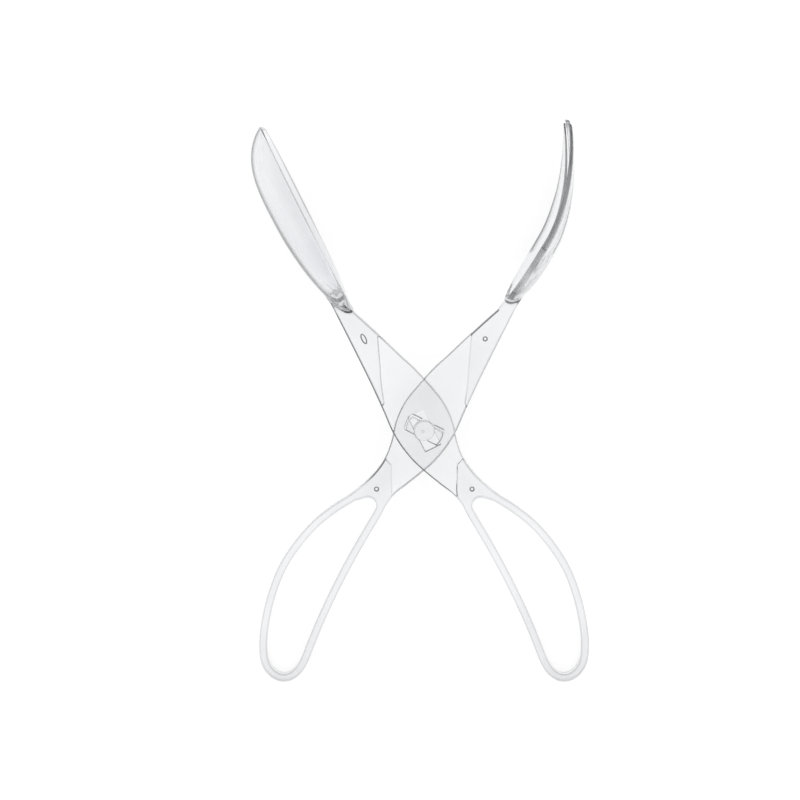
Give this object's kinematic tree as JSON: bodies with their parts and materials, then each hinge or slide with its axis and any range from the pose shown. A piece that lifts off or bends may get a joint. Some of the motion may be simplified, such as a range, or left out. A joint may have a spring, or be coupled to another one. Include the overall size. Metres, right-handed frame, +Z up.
{
  "type": "serving tongs",
  "caption": "Clear moulded scissor tongs for serving salad: one arm ends in a spoon and the other in a fork, crossed on a twist-lock pivot, with finger loops.",
  "frame": {"origin": "centre of the bounding box at its bottom, on the table that the open tongs lie on", "axes": "+Y from the handles to the heads, +Z up from the table, +X towards the fork's side"},
  "size_m": [0.1428, 0.2384, 0.0526],
  "materials": {
    "spoon_arm_plastic": "polished, clear",
    "fork_arm_plastic": "polished, clear"
  },
  "bodies": {
    "spoon_arm": {"spoon_arm": "spoon_arm_plastic"},
    "fork_arm": {"fork_arm": "fork_arm_plastic"}
  },
  "joints": [
    {"name": "pivot", "type": "hinge", "parent": "spoon_arm", "child": "fork_arm", "pos_m": [0.00107, -0.01137, 0.01521], "axis": [0, 0.1138, -0.9935], "range_deg": [-51, 27]}
  ]
}
